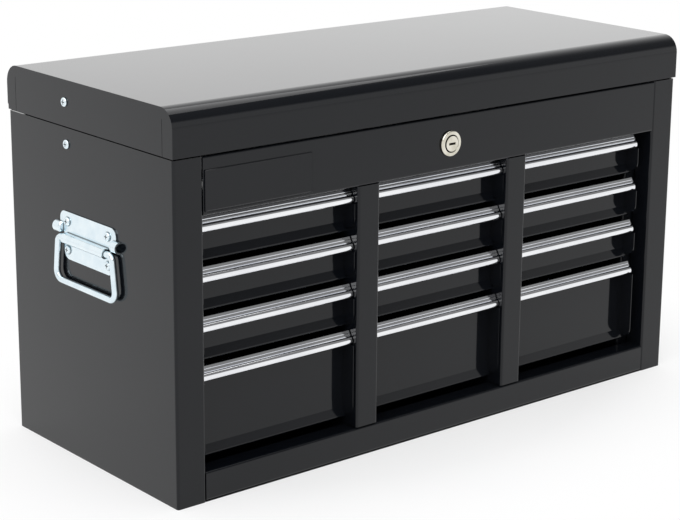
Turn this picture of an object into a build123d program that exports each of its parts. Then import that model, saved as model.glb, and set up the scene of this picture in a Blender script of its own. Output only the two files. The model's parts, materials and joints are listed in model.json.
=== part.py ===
from build123d import *
from math import atan2, degrees
import os

# Machinist tool chest: a sheet-steel top chest with twelve drawers in three columns, a hinged lid over a
# shallow till, a cam lock, folding lid stays and a zinc bail handle on each end.
# Millimetres, +Z up, the front faces -Y. The origin is the centre of the base.

# ---- case -------------------------------------------------------------------------------------------
width = 660.0            # over the side panels
depth = 282.0            # front frame plane to the back seam flanges
case_h = 330.0           # top edge of the case
sheet = 1.0              # case, lid and drawer sheet
bend_r = 2.0             # middle radius of a fold
fit_gap = 0.5            # between sheets that pass each other
cut = 1.0                # how far a cutting tool runs past the stock
stile_w = 32.0           # front face of each side panel
stile_return = 22.0      # how far the stile folds back into the case
rear_seam = 16.0         # side panel's flange over the back panel
top_rail_h = 55.0
top_rail_flange = 8.0
rail_shelf = 20.0        # fold behind the opening, on the top and bottom rails
bottom_rail_h = 28.5
rail_foot = 14.0
pan_flange = 15.0
till_strip_h = 10.0      # strips round the till floor, from its underside
hem_h = 8.0              # doubled edge round the mouth of the case and the lid
post_w = 27.0            # face of each divider between the drawer columns
post_foot_gap = 1.0      # dark line between a post and the bottom rail
post_left = -103.5       # middle of each post
post_right = 93.5

# ---- drawers ----------------------------------------------------------------------------------------
rows = 4
row_pitch = 47.5
pull_below_rail = 3.7    # top of the uppermost pull below the top rail
front_recess = 20.0      # drawer face behind the frame plane
front_gap = 1.0          # beside each drawer front
right_gap = 16.0         # the right column's fronts end this far from the stile
shallow_h = 43.5         # top of the pull to the bottom of the drawer
lowest_gap = 8.5         # bottom of the lowest drawer above the bottom rail
kick_h = 10.0            # the face's lower edge kicks forward
kick_out = 4.5
ledge_drop = 1.6         # shelf behind the pull, below the pull's top
cheek_reach = 16.5       # end cheek, forward of the face
cheek_foot = 5.0         # and above the bottom of the drawer
cheek_r = 9.0
front_bend_r = 1.2
front_foot = 8.0         # fold under the drawer box, from the back of the face
box_rear_gap = 10.0      # behind the drawer box
box_drop = 6.0           # box sides below the top of the pull
box_sheet = 1.0

# ---- drawer pull, an extruded section ---------------------------------------------------------------
pull_h = 13.2
pull_nose = 6.0          # nose behind the frame plane
pull_back = 12.0         # top edge behind the frame plane
pull_tab = 17.5          # rear of the tab on the ledge, behind the frame plane
pull_facet = 4.8         # height of the flat facets above the groove
pull_lean = 2.7          # how far the facets come forward
pull_notch = 0.6         # depth of the fine line between the facets
pull_groove = 0.8        # depth of the groove over the nose
pull_toe = 1.4           # lower edge behind the nose
pull_wall = 1.5

# ---- drawer slides ----------------------------------------------------------------------------------
slide_t = 12.7           # from the wall to the drawer side
slide_lip_gap = 2.5      # outer member's lips to the drawer side
slide_h = 30.0
slide_l = 235.0
slide_sheet = 1.2
slide_start = 22.5       # front end behind the frame plane
slide_rise = 18.0        # middle of the slide above the bottom of the drawer
bead_r = 1.9             # ball row
bead_grip = 0.5          # how far the members reach past the side of a ball row
slide_play = 0.3
upright_w = 26.0
upright_foot = 8.0
upright_start = 24.0     # front uprights behind the frame plane
upright_rear = 60.0      # rear uprights from the back

# ---- lid --------------------------------------------------------------------------------------------
lid_gap = 1.5
lid_h = 45.0
lid_over = 1.0           # stands proud of the case at the front and the ends
lid_rear = 0.5           # and at the back
lid_r = 18.0             # rolled front and back edges
lid_rear_lift = 5.0      # the back skirt ends higher, to clear the hinge
lid_rear_cut = 1.2       # depth of that cut, through the back skirt
seam_in = 16.0           # corner seams, from the front and back faces
seam_top = 11.0          # and below the top
seam_w = 0.5

# ---- hinges -----------------------------------------------------------------------------------------
hinge_x = 220.0
hinge_l = 80.0
knuckles = 5
knuckle_r = 2.7
knuckle_gap = 0.3
pin_r = 1.3
pin_play = 0.05
leaf_t = 1.2
leaf_h = 22.0
hinge_above = 3.3        # axis above the case

# ---- lock -------------------------------------------------------------------------------------------
lock_below = 28.0        # axis below the top of the case
lock_flange_r = 13.0
lock_flange_t = 2.8
lock_flange_round = 1.6
lock_bore_bevel = 1.3
lock_barrel_r = 9.5
lock_barrel_l = 16.0
lock_hole_r = 9.7
plug_r = 7.8
plug_proud = 0.6
plug_play = 0.06
key_slot = (8.6, 2.4, 5.0)       # width, height, depth
nut_r = 13.5
nut_t = 4.0
cam_l = 22.0
cam_w = 10.0
cam_t = 2.0
catch_x = 12.5           # inner edge of the catch
catch_w = 12.0
catch_t = 2.0
catch_behind = 1.5       # catch plate behind the cam
catch_reach = 5.0        # ledge forward of the catch plate
catch_under = 2.0        # ledge below the locked cam

# ---- handles ----------------------------------------------------------------------------------------
handle_below = 105.0     # middle of the plate below the top of the case
plate_w = 97.0           # above the barrel
plate_foot_w = 84.0      # and below it
plate_h = 47.0
plate_head_h = 21.0      # the wider upper part
plate_t = 1.5
plate_r = 8.0
hood_r = 5.8             # pressed stop above each leg of the bail
hood_up = 6.6            # its axis above the middle of the plate
hood_lift = 1.2          # and off the side panel
hood_in = 43.0
hood_out = 54.5
wire_r = 3.25
wire_off = 5.0           # wire axis from the side panel
wire_play = 0.35
barrel_t = 1.4
barrel_down = 2.0        # axis below the middle of the plate
barrel_half = 36.0
wire_end = 14.0          # inner end of the wire in the barrel
shoulder = 46.8          # half width of the bail at the barrel
shoulder_r = 6.0
bail_half = 52.2
bail_drop = 43.0
bail_r = 9.0
screw_dy = 35.0
screw_dz = 14.0
screw_head_r = 4.2
screw_head_h = 2.4
screw_r = 2.0
screw_l = 9.0
screw_hole_r = 2.3
screw_round = 0.6        # rounding of a head, as a share of its height
cross = (0.9, 1.0)       # width and depth of the cross recess
cross_reach = 0.55       # and its arms, as a share of the head's radius

# ---- lid stays --------------------------------------------------------------------------------------
stay_y = 35.0
stay_below = 15.8        # pivot below the top of the case
stay_above = 25.0        # pivot on the lid above the top of the case
arm_w = 14.0
arm_t = 1.5
arm_gap = 0.3
arm_in = 3.0             # outer face of the first arm from the inside of the panel
pivot_r = 2.5
pivot_play = 0.1
pivot_head_r = 4.5
pivot_head_h = 2.2
collar_t = 1.5           # wall of a pivot's collar, and its length behind the arm
pin_end = 0.5            # elbow pin beyond the lower arm

# ---- places worked out from the sizes ---------------------------------------------------------------
half_w = width / 2
front = -depth / 2
back = depth / 2
stile_x = half_w - stile_w
rail_z = case_h - top_rail_h                 # underside of the top rail
bottom_rail_z = sheet + bottom_rail_h        # top of the bottom rail
back_inner = back - 2 * sheet                # inner face of the back panel
till_z = rail_z + sheet                      # underside of the till floor
first_pull_top = rail_z - pull_below_rail
lock_z = case_h - lock_below
handle_z = case_h - handle_below
barrel_z = handle_z - barrel_down
stay_case_z = case_h - stay_below
stay_lid_z = case_h + stay_above
face_y = front + front_recess
lid_z = case_h + lid_gap
lid_top = lid_z + lid_h
lid_half = half_w + lid_over
lid_front = front - lid_over
lid_back = back + lid_rear
hinge_y = back - sheet
hinge_z = case_h + hinge_above
right_wall = stile_x - right_gap + front_gap         # face of the right-hand uprights
columns = {
    "left": (-stile_x, post_left - post_w / 2),
    "mid": (post_left + post_w / 2, post_right - post_w / 2),
    "right": (post_right + post_w / 2, right_wall),
}


def block(x0, x1, y0, y1, z0, z1):
    """A box between two corners."""
    return Pos(x0, y0, z0) * Box(x1 - x0, y1 - y0, z1 - z0, align=(Align.MIN, Align.MIN, Align.MIN))


def along_x(face, x0, x1):
    """Extrudes a section drawn as (y, z)."""
    return extrude(Plane.YZ.offset(x0) * face, amount=x1 - x0)


def along_y(face, y0, y1):
    """Extrudes a section drawn as (x, z)."""
    return extrude(Plane.XZ.offset(-y1) * face, amount=y1 - y0)


def along_z(face, z0, z1):
    """Extrudes a section drawn as (x, y)."""
    return extrude(Plane.XY.offset(z0) * face, amount=z1 - z0)


def folded(*points, t=sheet, r=bend_r):
    """Section of a folded sheet, from the middle line of the sheet."""
    return trace(FilletPolyline(*points, radius=r), line_width=t)


def mirrored(shape):
    """The same piece on the other end of the chest."""
    return mirror(shape, about=Plane.YZ)


def rod_x(radius, x0, x1, y, z):
    return Pos(min(x0, x1), y, z) * Rot(0, 90, 0) * Cylinder(
        radius, abs(x1 - x0), align=(Align.CENTER, Align.CENTER, Align.MIN))


def rod_y(radius, y0, y1, x, z):
    return Pos(x, y1, z) * Rot(90, 0, 0) * Cylinder(
        radius, y1 - y0, align=(Align.CENTER, Align.CENTER, Align.MIN))


def save(name, *solids):
    shape = solids[0] if len(solids) == 1 else Compound(children=list(solids))
    export_step(shape, os.path.join("parts", name + ".step"))


# ---- case -------------------------------------------------------------------------------------------
def side_panel(side):
    """Side, front stile with its return, and rear seam flange, folded from one sheet. side is -1 or 1."""
    mid = sheet / 2
    panel = along_z(folded(
        (-half_w + rear_seam, back - mid), (-half_w + mid, back - mid), (-half_w + mid, front + mid),
        (-stile_x - mid, front + mid), (-stile_x - mid, front + stile_return)), 0, case_h)
    panel -= block(-half_w + sheet, -stile_x + cut, front + sheet, back - sheet, 0, sheet)
    panel += block(-half_w + sheet, -half_w + 2 * sheet, front + 3 * bend_r, back_inner - bend_r,
                   case_h - hem_h, case_h)
    panel -= rod_x(pivot_r + pivot_play, -half_w - cut, -half_w + 2 * sheet + cut, stay_y, stay_case_z)
    for dy in (-screw_dy, screw_dy):
        for dz in (-screw_dz, screw_dz):
            panel -= rod_x(screw_hole_r, -half_w - cut, -half_w + sheet + cut, dy, handle_z + dz)
    return panel if side < 0 else mirrored(panel)


def back_panel():
    x = half_w - sheet - bend_r
    return block(-x, x, back_inner, back - sheet, 0, case_h)


def bottom_pan():
    """Floor of the case, with flanges up the sides and back."""
    x = half_w - sheet
    pan = block(-stile_x, stile_x, front + sheet / 2, front + stile_return, 0, sheet)
    pan += block(-x, x, front + sheet, back_inner, 0, sheet)
    for end in (-x, x - sheet):
        pan += block(end, end + sheet, front + 2 * bend_r, back_inner - bend_r, 0, pan_flange)
    pan += block(-x + bend_r, x - bend_r, back_inner - sheet, back_inner, 0, pan_flange)
    return pan


def top_rail():
    mid = sheet / 2
    rail = along_x(folded(
        (front + top_rail_flange, case_h - mid), (front + mid, case_h - mid),
        (front + mid, rail_z + mid), (front + rail_shelf, rail_z + mid)), -stile_x, stile_x)
    return rail - rod_y(lock_hole_r, front - cut, front + sheet + cut, 0, lock_z)


def bottom_rail():
    mid = sheet / 2
    return along_x(folded(
        (front + rail_foot, sheet + mid), (front + mid, sheet + mid),
        (front + mid, bottom_rail_z - mid), (front + rail_shelf, bottom_rail_z - mid)), -stile_x, stile_x)


def divider(x):
    """Post between two columns, whose folded sides run back to the back panel and carry the slides."""
    mid = sheet / 2
    side = post_w / 2 - mid
    rear = back_inner - sheet
    post = along_z(folded((x - side, rear), (x - side, front + mid), (x + side, front + mid),
                          (x + side, rear)), sheet, till_z)
    shelf_end = front + rail_shelf
    post -= block(x - post_w, x + post_w, front - cut, shelf_end, 0, bottom_rail_z + post_foot_gap)
    post -= block(x - post_w, x + post_w, front - cut, shelf_end, rail_z, case_h)
    return post


def till_floor():
    """Floor of the compartment under the lid, on the top rail's shelf, and the strips along its edges."""
    x, rear = half_w - sheet, back_inner - bend_r
    floor_top, strip_top = till_z + sheet, till_z + till_strip_h
    y0 = front + stile_return + fit_gap
    floor = block(-stile_x, stile_x, front + sheet + bend_r, y0, till_z, floor_top)
    floor += block(-x, x, y0, rear, till_z, floor_top)
    floor += block(-x + bend_r, x - bend_r, rear, back_inner, till_z, floor_top)
    left_strip = block(-x, -x + sheet, y0, rear, floor_top, strip_top)
    back_strip = block(-x + bend_r, x - bend_r, back_inner - sheet, back_inner, floor_top, strip_top)
    return [floor, left_strip, mirrored(left_strip), back_strip]


def upright(wall, face, y0):
    """Hat-section post on a side panel, whose face carries the slides of an outer column."""
    mid = sheet / 2
    into = 1 if face > wall else -1
    foot, top = wall + into * mid, face - into * mid
    y1 = y0 + upright_w
    return along_z(folded((foot, y0 - upright_foot), (foot, y0 + mid), (top, y0 + mid), (top, y1 - mid),
                          (foot, y1 - mid), (foot, y1 + upright_foot)), pan_flange, till_z)


def uprights():
    wall = half_w - sheet
    starts = (front + upright_start, back - upright_rear)
    return ([upright(-wall, -stile_x, y0) for y0 in starts]
            + [upright(wall, right_wall, y0) for y0 in starts])


# ---- slides -----------------------------------------------------------------------------------------
def fixed_slide(wall, into, z):
    """Outer member on a wall. into is the direction of the drawer along X."""
    h, t, lip = slide_h / 2, slide_sheet, slide_t - slide_lip_gap
    bead_top = h - t - slide_play
    hook = bead_top - bead_r - bead_grip
    points = [(0, -h), (lip, -h), (lip, -hook), (lip - t, -hook), (lip - t, -h + t), (t, -h + t),
              (t, h - t), (lip - t, h - t), (lip - t, hook), (lip, hook), (lip, h), (0, h)]
    section = make_face(Polyline([(wall + into * u, z + v) for u, v in points], close=True))
    y0 = front + slide_start
    return along_y(section, y0, y0 + slide_l)


def moving_slide(wall, into, z):
    """Inner member on the drawer side, with a bead for each ball row."""
    h, t = slide_h / 2, slide_sheet
    bead_z = h - t - slide_play - bead_r
    bead_u = (slide_t - slide_lip_gap) / 2
    flange = bead_z - bead_r + bead_grip
    points = [(slide_t, -flange), (bead_u, -flange), (bead_u, -flange + t), (slide_t - t, -flange + t),
              (slide_t - t, flange - t), (bead_u, flange - t), (bead_u, flange), (slide_t, flange)]
    section = make_face(Polyline([(wall + into * u, z + v) for u, v in points], close=True))
    for side in (-1, 1):
        section += Pos(wall + into * bead_u, z + side * bead_z) * Circle(bead_r)
    y0 = front + slide_start
    return along_y(section, y0, y0 + slide_l)


# ---- drawers ----------------------------------------------------------------------------------------
def pull_top(row):
    return first_pull_top - row * row_pitch


def drawer_bottom(row):
    return bottom_rail_z + lowest_gap if row == rows - 1 else pull_top(row) - shallow_h


def drawer_front(x0, x1, top, bottom):
    """Recessed face with a ledge at the top, a kick at the bottom and an end cheek on each side."""
    mid = sheet / 2
    crease = bottom + kick_h
    ledge = top - ledge_drop - mid
    ledge_end = front + pull_back + sheet
    section = folded(
        (ledge_end, ledge), (face_y + mid, ledge), (face_y + mid, crease),
        (face_y + mid - kick_out, bottom + mid), (face_y + front_foot, bottom + mid), r=front_bend_r)
    shape = along_x(section, x0, x1)
    reach, foot, under_pull = face_y - cheek_reach, bottom + cheek_foot, top - pull_h - fit_gap
    cheek = make_face(Polyline(
        [(face_y + mid, ledge - mid), (ledge_end, ledge - mid), (ledge_end, under_pull),
         (reach, under_pull), (reach, foot), (face_y + mid, foot)], close=True))
    corner = cheek.vertices().sort_by_distance((reach, foot, 0))[0]
    cheek = fillet(corner, cheek_r)
    for end in (x0, x1 - sheet):
        shape += along_x(cheek, end, end + sheet)
    return shape


def drawer(column, row):
    """Front and box, welded into one."""
    wall0, wall1 = columns[column]
    top, bottom = pull_top(row), drawer_bottom(row)
    shape = drawer_front(wall0 + front_gap, wall1 - front_gap, top, bottom)
    x0, x1 = wall0 + slide_t, wall1 - slide_t
    y0, y1 = face_y + sheet / 2, back_inner - box_rear_gap
    box = block(x0, x1, y0, y1, bottom, top - box_drop)
    box -= block(x0 + box_sheet, x1 - box_sheet, y0 - cut, y1 - box_sheet, bottom + box_sheet, top)
    return shape + box


def pull_section(top):
    """The pull in (y, z): a tab on the ledge, two flat facets, a groove and a round nose."""
    def at(behind, below):
        return (front + behind, top - below)
    facet_end = pull_back - pull_lean
    middle = pull_facet / 2
    nose_below = (pull_facet + pull_h) / 2 + 0.6
    nose_top = at(facet_end - 0.2, pull_facet + pull_groove)
    nose = at(pull_nose, nose_below)
    nose_in = at(pull_nose + pull_wall, nose_below)
    toe = at(pull_nose + pull_toe, pull_h)
    toe_in = at(pull_nose + pull_toe + pull_wall - 0.2, pull_h - 0.3)
    groove_in = at(facet_end + pull_wall, pull_facet + 1.4)
    outline = Polyline([toe_in, toe])
    outline += ThreePointArc(toe, nose, nose_top)
    outline += Polyline([
        nose_top, at(facet_end + pull_groove, pull_facet + 0.4), at(facet_end, pull_facet),
        at(pull_back - 1.5, middle + 0.4), at(pull_back - 1.5 + pull_notch, middle + 0.1),
        at(pull_back - 1.3, middle - 0.2), at(pull_back, 0), at(pull_tab, 0), at(pull_tab, ledge_drop),
        at(pull_back + pull_notch, ledge_drop), groove_in])
    outline += ThreePointArc(groove_in, nose_in, toe_in)
    return make_face(outline)


def pull(column, row):
    wall0, wall1 = columns[column]
    return along_x(pull_section(pull_top(row)), wall0 + front_gap, wall1 - front_gap)


# ---- lid --------------------------------------------------------------------------------------------
def lid_section(inset):
    """Outline of the lid in (y, z), drawn in from the outside by inset."""
    y0, y1, z1, r = lid_front + inset, lid_back - inset, lid_top - inset, lid_r - inset
    z0 = lid_z - inset
    corner = r * (1 - 0.5 ** 0.5)
    outline = Polyline([(y1, z1 - r), (y1, z0), (y0, z0), (y0, z1 - r)])
    outline += ThreePointArc((y0, z1 - r), (y0 + corner, z1 - corner), (y0 + r, z1))
    outline += Line((y0 + r, z1), (y1 - r, z1))
    outline += ThreePointArc((y1 - r, z1), (y1 - corner, z1 - corner), (y1, z1 - r))
    return make_face(outline)


def lid_shell():
    lid = along_x(lid_section(0), -lid_half, lid_half)
    lid -= along_x(lid_section(sheet), -lid_half + sheet, lid_half - sheet)
    x, hem = lid_half - sheet, lid_z + hem_h
    lid += block(-x, x, lid_front + sheet, lid_front + 2 * sheet, lid_z, hem)
    for end in (-x, x - sheet):
        lid += block(end, end + sheet, lid_front + seam_in, lid_back - seam_in, lid_z, hem)
    lid -= block(-lid_half - cut, lid_half + cut, lid_back - lid_rear_cut, lid_back + cut,
                 lid_z - cut, lid_z + lid_rear_lift)
    for y in (lid_front + seam_in, lid_back - seam_in):
        for end in (-lid_half, lid_half):
            lid -= block(end - 1.5 * sheet, end + 1.5 * sheet, y - seam_w / 2, y + seam_w / 2,
                         lid_z - cut, lid_top - seam_top)
    for end in (-lid_half, lid_half):
        lid -= rod_x(pivot_r + pivot_play, end - 2 * sheet - cut, end + 2 * sheet + cut, stay_y, stay_lid_z)
    return lid


# ---- hinges -----------------------------------------------------------------------------------------
def hinge_leaf(x, on_lid):
    """One leaf of a butt hinge with its knuckles."""
    pitch = hinge_l / knuckles
    x0 = x - hinge_l / 2
    clear = knuckle_r + knuckle_gap
    if on_lid:
        y1, edge, far = lid_back - sheet, hinge_z + clear, hinge_z + clear + leaf_h
    else:
        y1, edge, far = back_inner, hinge_z - clear, hinge_z - clear - leaf_h
    y0 = y1 - leaf_t
    leaf = block(x0, x0 + hinge_l, y0, y1, min(edge, far), max(edge, far))
    for n in range(1 if on_lid else 0, knuckles, 2):
        a, b = x0 + n * pitch + knuckle_gap / 2, x0 + (n + 1) * pitch - knuckle_gap / 2
        leaf += block(a, b, y0, y1, min(edge, hinge_z), max(edge, hinge_z))
        leaf += rod_x(knuckle_r, a, b, hinge_y, hinge_z)
    return leaf - rod_x(pin_r + pin_play, x0 - cut, x0 + hinge_l + cut, hinge_y, hinge_z)


def hinge_pin(x):
    return rod_x(pin_r, x - hinge_l / 2, x + hinge_l / 2, hinge_y, hinge_z)


# ---- lock -------------------------------------------------------------------------------------------
def lock_housing():
    flange = rod_y(lock_flange_r, front - lock_flange_t, front, 0, lock_z)
    rim = flange.edges().filter_by(GeomType.CIRCLE).sort_by(Axis.Y)[0]
    flange = fillet(rim, lock_flange_round)
    flange += rod_y(lock_barrel_r, front, front + lock_barrel_l, 0, lock_z)
    flange -= rod_y(plug_r + plug_play, front - lock_flange_t - cut, front + lock_barrel_l + cut, 0, lock_z)
    mouth = flange.edges().filter_by(GeomType.CIRCLE).sort_by(Axis.Y)[:2].sort_by(SortBy.RADIUS)[0]
    return chamfer(mouth, lock_bore_bevel)


def lock_nut():
    nut = along_y(Pos(0, lock_z) * RegularPolygon(nut_r, 6), front + sheet, front + sheet + nut_t)
    return nut - rod_y(lock_barrel_r, front, front + lock_barrel_l, 0, lock_z)


def lock_plug():
    w, h, d = key_slot
    face = front - lock_flange_t - plug_proud
    plug = rod_y(plug_r, face, front + lock_barrel_l, 0, lock_z)
    return plug - block(-w / 2, w / 2, face - cut, face + d, lock_z - h / 2, lock_z + h / 2)


def lock_cam():
    """Arm behind the plug, standing up when unlocked."""
    y0, tip_z = front + lock_barrel_l, lock_z + cam_l - cam_w / 2
    cam = block(-cam_w / 2, cam_w / 2, y0, y0 + cam_t, lock_z, tip_z)
    cam += rod_y(cam_w / 2, y0, y0 + cam_t, 0, lock_z)
    return cam + rod_y(cam_w / 2, y0, y0 + cam_t, 0, tip_z)


def lid_catch():
    """Hook on the lid's front hem, whose ledge lies under the locked cam."""
    x0, x1 = catch_x, catch_x + catch_w
    plate_y = front + lock_barrel_l + cam_t + catch_behind
    ledge_top = lock_z - cam_w / 2 - catch_under
    foot_z = lid_z + hem_h
    catch = block(x0, x1, plate_y, plate_y + catch_t, ledge_top - catch_t, foot_z + catch_t)
    catch += block(x0, x1, plate_y - catch_reach, plate_y + catch_t, ledge_top - catch_t, ledge_top)
    return catch + block(x0, x1, lid_front + sheet, plate_y + catch_t, foot_z, foot_z + catch_t)


# ---- handles ----------------------------------------------------------------------------------------
def stop_hood():
    """Pressed cup that stops the bail, open to the end of the plate."""
    x, z = -half_w - hood_lift, handle_z + hood_up
    cup = rod_y(hood_r, hood_in, hood_out, x, z)
    cup = fillet(cup.edges().filter_by(GeomType.CIRCLE).sort_by(Axis.Y)[0], hood_r / 2)
    cup -= rod_y(hood_r - plate_t, hood_in + plate_t, hood_out + cut, x, z)
    return cup - block(-half_w, -half_w + 2 * hood_r, hood_in - cut, hood_out + cut, z - hood_r, z + hood_r)


def handle_plate():
    """Left-hand plate with a pressed barrel for the wire and a stop at each end."""
    upper = Pos(0, handle_z + (plate_h - plate_head_h) / 2) * RectangleRounded(plate_w, plate_head_h, plate_r)
    lower = Pos(0, handle_z) * RectangleRounded(plate_foot_w, plate_h, plate_r)
    plate = along_x(upper + lower, -half_w - plate_t, -half_w)
    inner = wire_r + wire_play
    outer = inner + barrel_t
    x, z = -half_w - wire_off, barrel_z
    plate += rod_y(outer, -barrel_half, barrel_half, x, z)
    plate += block(x, -half_w, -barrel_half, barrel_half, z - outer, z + outer)
    plate -= rod_y(inner, -plate_w, plate_w, x, z)
    plate -= block(x, -half_w + cut, -barrel_half - cut, barrel_half + cut, z - inner, z + inner)
    for y0 in (-plate_w, barrel_half):
        plate -= block(-half_w - plate_t - cut, -half_w + cut, y0, y0 + plate_w - barrel_half,
                       z - outer, z + inner)
    hood = stop_hood()
    plate += hood
    plate += mirror(hood, about=Plane.XZ)
    for dy in (-screw_dy, screw_dy):
        for dz in (-screw_dz, screw_dz):
            plate -= rod_x(screw_hole_r, -half_w - plate_t - cut, -half_w + cut, dy, handle_z + dz)
    return plate


def bail():
    """Left-hand bail, bent from one wire, hanging down."""
    half_path = [(wire_end, 0), (shoulder, 0), (bail_half, -bail_drop)]
    points = half_path + [(-y, z) for y, z in reversed(half_path)]
    radii = [shoulder_r, bail_r, bail_r, shoulder_r]
    plane = Plane(origin=(-half_w - wire_off, 0, barrel_z), x_dir=(0, 1, 0), z_dir=(1, 0, 0))
    path = plane * FilletPolyline(*points, radius=radii)
    start = Plane(origin=path @ 0, z_dir=path % 0)
    return sweep(start * Circle(wire_r), path=path)


def pan_screw(y, z, surface, head_r, head_h, shank_r, length):
    """Screw driven into the left-hand end from outside."""
    head = rod_x(head_r, surface - head_h, surface, y, z)
    rim = head.edges().filter_by(GeomType.CIRCLE).sort_by(Axis.X)[0]
    head = fillet(rim, head_h * screw_round)
    slot_w, slot_depth = cross
    reach = head_r * cross_reach
    x0, x1 = surface - head_h - cut, surface - head_h + slot_depth
    head -= block(x0, x1, y - reach, y + reach, z - slot_w / 2, z + slot_w / 2)
    head -= block(x0, x1, y - slot_w / 2, y + slot_w / 2, z - reach, z + reach)
    return head + rod_x(shank_r, surface, surface + length, y, z)


def handle_screws():
    screws = [pan_screw(dy, handle_z + dz, -half_w - plate_t, screw_head_r, screw_head_h, screw_r, screw_l)
              for dy in (-screw_dy, screw_dy) for dz in (-screw_dz, screw_dz)]
    return screws + [mirrored(s) for s in screws]


# ---- lid stays --------------------------------------------------------------------------------------
def stay_points():
    """Pivot on the case, elbow and pivot on the lid. With the hinge they form a parallelogram."""
    case, lid = (stay_y, stay_case_z), (stay_y, stay_lid_z)
    elbow = (case[0] + lid[0] - hinge_y, case[1] + lid[1] - hinge_z)
    return case, elbow, lid


def arm(p, q, x0, holes):
    """Flat bar with round ends between two pivots."""
    dy, dz = q[0] - p[0], q[1] - p[1]
    centre = Pos((p[0] + q[0]) / 2, (p[1] + q[1]) / 2)
    bar = centre * Rot(0, 0, degrees(atan2(dz, dy))) * SlotCenterToCenter((dy * dy + dz * dz) ** 0.5, arm_w)
    for hole in holes:
        bar -= Pos(*hole) * Circle(pivot_r + pivot_play)
    return along_x(bar, x0, x0 + arm_t)


def stay_arms(upper):
    case, elbow, lid = stay_points()
    x0 = -half_w + sheet + arm_in
    if not upper:
        left = arm(case, elbow, x0, (case, elbow))
        return [left, mirrored(left)]
    x1 = x0 + arm_t + arm_gap
    left = arm(elbow, lid, x1, (lid,))
    left += rod_x(pivot_r, x0 - pin_end, x1 + arm_t, *elbow)
    return [left, mirrored(left)]


def stay_pivot(y, z, surface, arm_x):
    """Screw from outside, with a collar up to the arm and a riveted end behind it."""
    collar_r, end_x = pivot_r + collar_t, arm_x + arm_t + collar_t
    screw = pan_screw(y, z, surface, pivot_head_r, pivot_head_h, pivot_r, end_x - surface)
    screw += rod_x(collar_r, -half_w + 2 * sheet + pivot_play, arm_x - arm_gap, y, z)
    return screw + rod_x(collar_r, arm_x + arm_t + arm_gap, end_x, y, z)


def main():
    os.makedirs("parts", exist_ok=True)
    save("side_panel_left", side_panel(-1))
    save("side_panel_right", side_panel(1))
    save("back_panel", back_panel())
    save("bottom_pan", bottom_pan())
    save("top_rail", top_rail())
    save("bottom_rail", bottom_rail())
    save("dividers", divider(post_left), divider(post_right))
    save("till_floor", *till_floor())
    save("slide_uprights", *uprights())

    fixed = []
    for column, (wall0, wall1) in columns.items():
        for row in range(rows):
            z = drawer_bottom(row) + slide_rise
            fixed += [fixed_slide(wall0, 1, z), fixed_slide(wall1, -1, z)]
            label = f"{column}_{row + 1}"
            save("drawer_" + label, drawer(column, row))
            save("pull_" + label, pull(column, row))
            save("runners_" + label, moving_slide(wall0, 1, z), moving_slide(wall1, -1, z))
    save("case_runners", *fixed)

    save("lid_shell", lid_shell())
    save("hinge_case_leaves", *[hinge_leaf(x, False) for x in (-hinge_x, hinge_x)],
         *[hinge_pin(x) for x in (-hinge_x, hinge_x)])
    save("hinge_lid_leaves", *[hinge_leaf(x, True) for x in (-hinge_x, hinge_x)])

    save("lock_housing", lock_housing(), lock_nut())
    save("lock_plug", lock_plug())
    save("lock_cam", lock_cam())
    save("lid_catch", lid_catch())

    left_plate, left_bail = handle_plate(), bail()
    save("handle_plates", left_plate, mirrored(left_plate))
    save("bail_left", left_bail)
    save("bail_right", mirrored(left_bail))

    arm_x = -half_w + sheet + arm_in
    case_pivot = stay_pivot(stay_y, stay_case_z, -half_w, arm_x)
    lid_pivot = stay_pivot(stay_y, stay_lid_z, -lid_half, arm_x + arm_t + arm_gap)
    save("case_screws", *handle_screws(), case_pivot, mirrored(case_pivot))
    save("lid_screws", lid_pivot, mirrored(lid_pivot))
    save("stay_lower_arms", *stay_arms(False))
    save("stay_upper_arms", *stay_arms(True))


main()
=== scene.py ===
import json
import math

import bmesh
import bpy
from mathutils import Matrix, Vector

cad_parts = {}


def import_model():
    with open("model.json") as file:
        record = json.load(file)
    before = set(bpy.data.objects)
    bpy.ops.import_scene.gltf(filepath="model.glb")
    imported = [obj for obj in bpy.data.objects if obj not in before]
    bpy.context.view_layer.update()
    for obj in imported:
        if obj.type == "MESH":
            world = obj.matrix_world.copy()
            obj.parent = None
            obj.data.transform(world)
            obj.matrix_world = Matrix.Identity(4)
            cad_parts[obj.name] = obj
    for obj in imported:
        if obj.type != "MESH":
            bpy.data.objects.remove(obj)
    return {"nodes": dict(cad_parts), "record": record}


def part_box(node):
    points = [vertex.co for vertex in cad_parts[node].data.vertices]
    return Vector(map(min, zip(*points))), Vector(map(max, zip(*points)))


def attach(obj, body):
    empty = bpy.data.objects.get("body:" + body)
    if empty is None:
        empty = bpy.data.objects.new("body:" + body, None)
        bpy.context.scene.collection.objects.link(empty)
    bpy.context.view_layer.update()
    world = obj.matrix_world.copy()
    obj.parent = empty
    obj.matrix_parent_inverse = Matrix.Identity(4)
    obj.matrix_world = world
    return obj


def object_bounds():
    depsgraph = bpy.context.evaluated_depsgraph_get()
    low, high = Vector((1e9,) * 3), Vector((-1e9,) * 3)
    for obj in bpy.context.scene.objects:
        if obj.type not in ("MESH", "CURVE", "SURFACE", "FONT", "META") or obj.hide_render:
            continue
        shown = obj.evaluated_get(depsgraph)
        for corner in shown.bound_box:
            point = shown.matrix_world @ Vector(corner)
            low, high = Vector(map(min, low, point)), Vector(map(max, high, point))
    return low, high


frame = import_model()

cad_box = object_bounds()

# Everything is in metres, in the frame of the CAD model: +Z up, the front faces -Y.

# ---- photograph's camera ----------------------------------------------------------------------------
PICTURE = (680, 520)
FOCAL_PX = 1946.4
AXIS_PX = (381.8, 227.0)          # where the lens axis meets the picture
CAMERA_AT = (-1.27407, -1.52208, 0.71898)
AZIMUTH, ELEVATION, ROLL = -40.67, 15.01, 0.77
SENSOR_MM = 36.0

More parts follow.
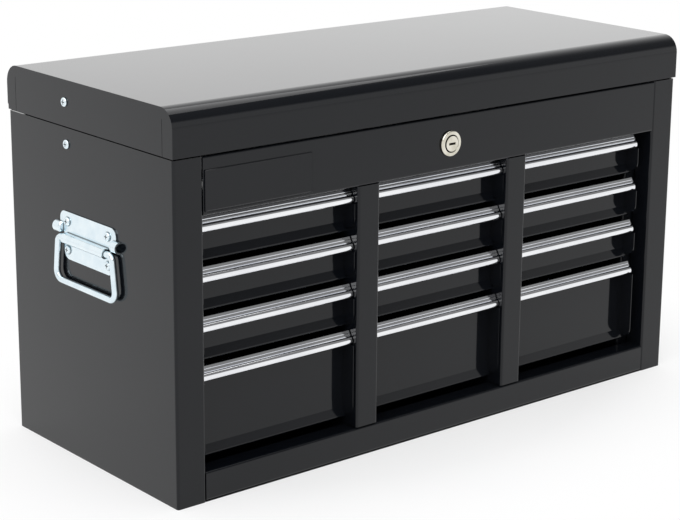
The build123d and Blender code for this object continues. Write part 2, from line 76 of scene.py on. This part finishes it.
# ---- colours, linear --------------------------------------------------------------------------------
BLACK = (0.0030, 0.0038, 0.0056)
BLACK_WORN = (0.0046, 0.0054, 0.0072)
BRIGHT = (0.90, 0.91, 0.93)
BRIGHT_DULL = (0.82, 0.83, 0.86)
ZINC = (0.83, 0.92, 0.96)
ZINC_DULL = (0.74, 0.85, 0.91)
NICKEL = (0.82, 0.79, 0.70)
NICKEL_DULL = (0.62, 0.59, 0.49)
FLOOR = (0.88, 0.88, 0.88)
FLOOR_STAIN = (0.86, 0.86, 0.87)

# ---- surfaces ---------------------------------------------------------------------------------------
ENAMEL_IOR = 1.25                 # of the paint and of the clear layer over it
# painted shade: the colour of bare metal is darkened near narrow corners, found by ambient occlusion
PAINTED_SHADE_LEVEL = 0.10                    # painted shade: brightness that is left in a narrow corner of bare metal
PAINTED_SHADE_OPENNESS = (0.25, 0.9)        # how open a corner is where the painted shade is darkest, and where it is bright
ZINC_PAINTED_SHADE_REACH = 0.0016             # width of the corners that turn dark with painted shade
NICKEL_PAINTED_SHADE_REACH = 0.0022

# ---- studio, as reflections and the camera see it, where 1 is white ---------------------------------
BACKDROP = 1.0
DARK_ROOM = 0.22                  # in front of the chest and above it
LOW_SKY = (0.26, 0.44)            # upward part of a direction, where the sweep turns into the dark room
BEHIND = (-0.25, 0.5)             # backward part of one, where the dark room turns into the backdrop
AMBIENT = 0.55                    # light from all round on matt surfaces
FLOOR_HALF = 30.0
FLOOR_MIRRORED = 0.75             # share of the floor's own white in a reflection
FLOOR_SEEN = (0.45, 1.0)          # and in the picture, beside the chest and away from it
FLOOR_REACH = (0.9, 1.6)          # where one turns into the other, 1 being the end of the footprint
FLOOR_DEPTH = 0.6                 # the same in front and behind, where the shadow runs further out

# ---- badge, blank, in the left-hand end of the top rail ---------------------------------------------
BADGE_SIZE = (0.123, 0.039)
BADGE_FROM_END = 0.0015
BADGE_FROM_BELOW = 0.0035
BADGE_T = 0.0016
BADGE_R = 0.0015
BADGE_R_INSIDE = 0.0003
BADGE_RIM = 0.0012
BADGE_BEVEL = 0.0004              # round the outer edge
BADGE_STEP = (0.0003, 0.0004)     # from the rim to the field: across and down
CORNER_STEPS = 6
SMOOTH_ANGLE = 30.0


# ---- node helpers -----------------------------------------------------------------------------------
class Nodes:
    """Adds nodes to one tree, with short calls. A value is a number, a vector or another node's output."""

    def __init__(self, tree):
        self.tree = tree

    def add(self, kind, **settings):
        node = self.tree.nodes.new(kind)
        for key, value in settings.items():
            setattr(node, key, value)
        return node

    def feed(self, socket, value):
        if isinstance(value, bpy.types.NodeSocket):
            self.tree.links.new(value, socket)
        else:
            socket.default_value = value

    def math(self, operation, *values, kind="ShaderNodeMath"):
        node = self.add(kind, operation=operation)
        for socket, value in zip(node.inputs, values):
            self.feed(socket, value)
        return node.outputs["Value"]

    def vector_math(self, operation, *values):
        return self.math(operation, *values, kind="ShaderNodeVectorMath")

    def span(self, factor, low, high, start=0.3, end=0.7, curve="LINEAR"):
        """Turns start to end into low to high."""
        node = self.add("ShaderNodeMapRange", interpolation_type=curve)
        for key, value in (("From Min", start), ("From Max", end), ("To Min", low), ("To Max", high)):
            node.inputs[key].default_value = value
        self.feed(node.inputs["Value"], factor)
        return node.outputs["Result"]

    def mixed(self, factor, first, second, **settings):
        node = self.add("ShaderNodeMix", **settings)
        for key, value in (("Factor", factor), ("A", first), ("B", second)):
            self.feed(node.inputs[key], value)
        return node.outputs["Result"]


class Shader(Nodes):
    """A new material's nodes."""

    def __init__(self, name):
        self.material = bpy.data.materials.new(name)
        self.material.use_nodes = True
        super().__init__(self.material.node_tree)
        self.bsdf = self.tree.nodes["Principled BSDF"]
        self.position = self.add("ShaderNodeTexCoord").outputs["Object"]

    def placed(self, scale=(1, 1, 1), offset=(0, 0, 0)):
        node = self.add("ShaderNodeMapping")
        self.feed(node.inputs["Vector"], self.position)
        self.feed(node.inputs["Scale"], scale)
        self.feed(node.inputs["Location"], offset)
        return node.outputs["Vector"]

    def noise(self, scale, detail=2.0, rough=0.5, vector=None):
        node = self.add("ShaderNodeTexNoise")
        for key, value in (("Scale", scale), ("Detail", detail), ("Roughness", rough)):
            node.inputs[key].default_value = value
        self.feed(node.inputs["Vector"], vector or self.position)
        return node.outputs["Fac"]

    def cells(self, scale):
        node = self.add("ShaderNodeTexVoronoi")
        self.feed(node.inputs["Scale"], scale)
        self.feed(node.inputs["Vector"], self.position)
        return node.outputs["Color"]

    def rings(self, scale, distortion, vector):
        """Rings round the Y axis."""
        node = self.add("ShaderNodeTexWave", wave_type="RINGS", rings_direction="Y")
        for key, value in (("Scale", scale), ("Distortion", distortion), ("Vector", vector)):
            self.feed(node.inputs[key], value)
        return node.outputs["Fac"]

    def ramp(self, factor, low, high, start=0.35, end=0.65):
        node = self.add("ShaderNodeValToRGB")
        first, last = node.color_ramp.elements
        first.position, last.position = start, end
        first.color, last.color = (*low, 1), (*high, 1)
        self.feed(node.inputs["Fac"], factor)
        return node.outputs["Color"]

    def bump(self, height, distance, strength):
        node = self.add("ShaderNodeBump")
        for key, value in (("Strength", strength), ("Distance", distance), ("Height", height)):
            self.feed(node.inputs[key], value)
        return node.outputs["Normal"]

    def with_painted_corner_shade(self, colour, reach):
        """Paints shade into a colour within reach of a narrow corner."""
        near = self.add("ShaderNodeAmbientOcclusion", samples=8)
        self.feed(near.inputs["Distance"], reach)
        self.feed(near.inputs["Color"], colour)
        # painted shade: the more closed in the corner, the darker the colour
        painted_shade = self.span(near.outputs["AO"], PAINTED_SHADE_LEVEL, 1.0, *PAINTED_SHADE_OPENNESS)
        return self.mixed(1.0, near.outputs["Color"], painted_shade, data_type="RGBA", blend_type="MULTIPLY")

    def set(self, **values):
        """Sets the material's own inputs, whose names are written with _ between words."""
        for key, value in values.items():
            self.feed(self.bsdf.inputs[key.replace("_", " ")], value)


# ---- materials --------------------------------------------------------------------------------------
def enamel():
    """Gloss black baked enamel with a faint orange peel and a few dull patches."""
    s = Shader("black_enamel")
    s.set(Base_Color=s.ramp(s.noise(scale=3.0), BLACK, BLACK_WORN),
          Roughness=s.span(s.noise(scale=9.0, detail=4.0), low=0.07, high=0.12), IOR=ENAMEL_IOR,
          Normal=s.bump(s.noise(scale=260.0, detail=1.0), distance=0.00004, strength=0.5),
          Coat_Weight=1.0, Coat_Roughness=0.04, Coat_IOR=ENAMEL_IOR)
    return s.material


def bright_trim():
    """Drawn bright metal, with fine lines along the pull."""
    s = Shader("bright_trim")
    drawn = s.placed(scale=(6.0, 2600.0, 2600.0))
    lines = s.noise(scale=1.0, detail=3.0, rough=0.6, vector=drawn)
    s.set(Base_Color=s.ramp(s.noise(scale=14.0, detail=3.0), BRIGHT_DULL, BRIGHT),
          Metallic=1.0, Roughness=s.span(lines, low=0.06, high=0.14),
          Normal=s.bump(lines, distance=0.000012, strength=0.5))
    return s.material


def zinc_plate():
    """Bright zinc with a faint blue passivation and small crystal cells, and painted shade in its corners.
    """
    s = Shader("zinc_plate")
    cloud = s.noise(scale=60.0, detail=4.0, rough=0.6)
    # the base colour carries painted shade near narrow corners
    s.set(Base_Color=s.with_painted_corner_shade(s.ramp(cloud, ZINC_DULL, ZINC), ZINC_PAINTED_SHADE_REACH),
          Metallic=1.0, Roughness=s.span(s.cells(scale=420.0), low=0.14, high=0.24, start=0.0, end=1.0),
          Normal=s.bump(s.noise(scale=900.0), distance=0.00001, strength=0.3))
    return s.material


def nickel_plate():
    """Warm nickel with turning marks round the lock's axis, and painted shade in its corners."""
    s = Shader("nickel_plate")
    low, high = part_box("lock_plug")
    marks = s.rings(scale=900.0, distortion=0.6, vector=s.placed(offset=(0, 0, -(low.z + high.z) / 2)))
    cloud = s.noise(scale=90.0, detail=3.0)
    # the base colour carries painted shade near narrow corners
    s.set(Base_Color=s.with_painted_corner_shade(s.ramp(cloud, NICKEL_DULL, NICKEL), NICKEL_PAINTED_SHADE_REACH),
          Metallic=1.0, Roughness=s.span(marks, low=0.10, high=0.20, start=0.0, end=1.0),
          Normal=s.bump(marks, distance=0.00001, strength=0.4))
    return s.material


def floor_paper():
    """Matt white paper, whose own white takes over where no shadow of the chest falls."""
    s = Shader("floor_paper")
    s.set(Base_Color=s.ramp(s.noise(scale=4.0), FLOOR_STAIN, FLOOR), Roughness=0.9)
    path = s.add("ShaderNodeLightPath")
    half = (cad_box[1] - cad_box[0]) / 2
    away = s.vector_math("LENGTH", s.placed(scale=(1 / half.x, FLOOR_DEPTH / half.y, 0)))
    seen = s.math("MULTIPLY", s.span(away, *FLOOR_SEEN, *FLOOR_REACH), path.outputs["Is Camera Ray"])
    share = s.math("MULTIPLY_ADD", path.outputs["Is Glossy Ray"], FLOOR_MIRRORED, seen)
    glow = s.add("ShaderNodeEmission")
    mix = s.add("ShaderNodeMixShader")
    for socket, value in zip(mix.inputs, (share, s.bsdf.outputs["BSDF"], glow.outputs["Emission"])):
        s.feed(socket, value)
    s.feed(s.tree.nodes["Material Output"].inputs["Surface"], mix.outputs["Shader"])
    return s.material


# ---- pieces -----------------------------------------------------------------------------------------
def mesh_object(name, bm, material):
    mesh = bpy.data.meshes.new(name)
    bmesh.ops.recalc_face_normals(bm, faces=bm.faces)
    bm.to_mesh(mesh)
    bm.free()
    mesh.materials.append(material)
    mesh.shade_smooth()
    mesh.set_sharp_from_angle(angle=math.radians(SMOOTH_ANGLE))
    obj = bpy.data.objects.new(name, mesh)
    bpy.context.collection.objects.link(obj)
    return obj


def rounded_rectangle(x0, x1, z0, z1, r):
    """Corner points of a rounded rectangle, anticlockwise."""
    centres = ((x1 - r, z1 - r), (x0 + r, z1 - r), (x0 + r, z0 + r), (x1 - r, z0 + r))
    points = []
    for quarter, (cx, cz) in enumerate(centres):
        for n in range(CORNER_STEPS + 1):
            a = math.radians(90 * (quarter + n / CORNER_STEPS))
            points.append((cx + r * math.cos(a), cz + r * math.sin(a)))
    return points


def badge(material):
    """Blank plate on the top rail: a rim, a step down and a flat field."""
    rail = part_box("top_rail")[0]
    x0, z0 = rail.x + BADGE_FROM_END, rail.z + BADGE_FROM_BELOW
    x1, z1 = x0 + BADGE_SIZE[0], z0 + BADGE_SIZE[1]
    rings = (
        (0.0, 0.0), (0.0, BADGE_T - BADGE_BEVEL), (BADGE_BEVEL, BADGE_T), (BADGE_RIM, BADGE_T),
        (BADGE_RIM + BADGE_STEP[0], BADGE_T - BADGE_STEP[1]))
    bm = bmesh.new()
    loops = []
    for inset, height in rings:
        outline = rounded_rectangle(x0 + inset, x1 - inset, z0 + inset, z1 - inset,
                                    max(BADGE_R - inset, BADGE_R_INSIDE))
        loops.append([bm.verts.new((x, rail.y - height, z)) for x, z in outline])
    for lower, upper in zip(loops, loops[1:]):
        for n in range(len(lower)):
            m = (n + 1) % len(lower)
            bm.faces.new((lower[n], lower[m], upper[m], upper[n]))
    bm.faces.new(loops[-1])
    bm.faces.new(loops[0])
    obj = mesh_object("badge", bm, material)
    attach(obj, "case")


# ---- dress the CAD nodes ----------------------------------------------------------------------------
def dress(materials):
    slots = {row["node"]: row["material_slot"] for row in frame["record"]["subparts"]}
    for name, obj in frame["nodes"].items():
        obj.data.materials.clear()
        obj.data.materials.append(materials[slots[name]])


# ---- stage ------------------------------------------------------------------------------------------
def floor():
    bm = bmesh.new()
    bmesh.ops.create_grid(bm, x_segments=1, y_segments=1, size=FLOOR_HALF)
    obj = mesh_object("floor", bm, floor_paper())


def world():
    """White all round for the camera. Reflections find a dark room in front, above a white sweep."""
    studio = bpy.data.worlds.new("studio")
    bpy.context.scene.world = studio
    studio.use_nodes = True
    w = Nodes(studio.node_tree)
    path = w.add("ShaderNodeLightPath")
    direction = w.add("ShaderNodeTexCoord").outputs["Generated"]
    upward = w.vector_math("DOT_PRODUCT", direction, (0, 0, 1))
    backward = w.vector_math("DOT_PRODUCT", direction, (0, 1, 0))
    sweep = w.math("MAXIMUM", w.span(upward, BACKDROP, DARK_ROOM, *LOW_SKY, curve="SMOOTHSTEP"),
                   w.span(backward, DARK_ROOM, BACKDROP, *BEHIND, curve="SMOOTHSTEP"))
    level = w.mixed(path.outputs["Is Glossy Ray"], AMBIENT, sweep)
    level = w.mixed(path.outputs["Is Camera Ray"], level, 1.0)
    background = w.tree.nodes["Background"]
    w.feed(background.inputs["Color"], (1, 1, 1, 1))
    w.feed(background.inputs["Strength"], level)


def area_light(name, at, toward, size, power):
    data = bpy.data.lights.new(name, "AREA")
    data.shape = "RECTANGLE"
    data.size, data.size_y = size
    data.energy = power
    obj = bpy.data.objects.new(name, data)
    obj.location = at
    obj.rotation_euler = (Vector(toward) - Vector(at)).to_track_quat("-Z", "Y").to_euler()
    bpy.context.collection.objects.link(obj)


def camera():
    azimuth, elevation, roll = (math.radians(v) for v in (AZIMUTH, ELEVATION, ROLL))
    back = Vector((math.sin(azimuth) * math.cos(elevation), -math.cos(azimuth) * math.cos(elevation),
                   math.sin(elevation)))
    right = Vector((math.cos(azimuth), math.sin(azimuth), 0))
    up = back.cross(right)
    x_axis = math.cos(roll) * right + math.sin(roll) * up
    y_axis = -math.sin(roll) * right + math.cos(roll) * up
    data = bpy.data.cameras.new("camera")
    data.sensor_width = SENSOR_MM
    data.lens = FOCAL_PX / PICTURE[0] * SENSOR_MM
    data.shift_x = (PICTURE[0] / 2 - AXIS_PX[0]) / PICTURE[0]
    data.shift_y = (AXIS_PX[1] - PICTURE[1] / 2) / PICTURE[0]
    data.clip_end = 100.0
    obj = bpy.data.objects.new("camera", data)
    turn = Matrix((x_axis, y_axis, back)).transposed()
    obj.matrix_world = Matrix.Translation(CAMERA_AT) @ turn.to_4x4()
    bpy.context.collection.objects.link(obj)
    bpy.context.scene.camera = obj


black = enamel()
dress({"black_gloss": black, "bright_pull": bright_trim(), "zinc": zinc_plate(), "nickel": nickel_plate()})
badge(black)
floor()
world()
area_light("key", at=(-1.6, -1.4, 2.6), toward=(0, 0, 0.2), size=(2.6, 2.6), power=55)
area_light("top", at=(0.2, 0.3, 2.8), toward=(0, 0, 0.3), size=(3.2, 2.6), power=45)
camera()
bpy.context.scene.view_settings.view_transform = "Standard"
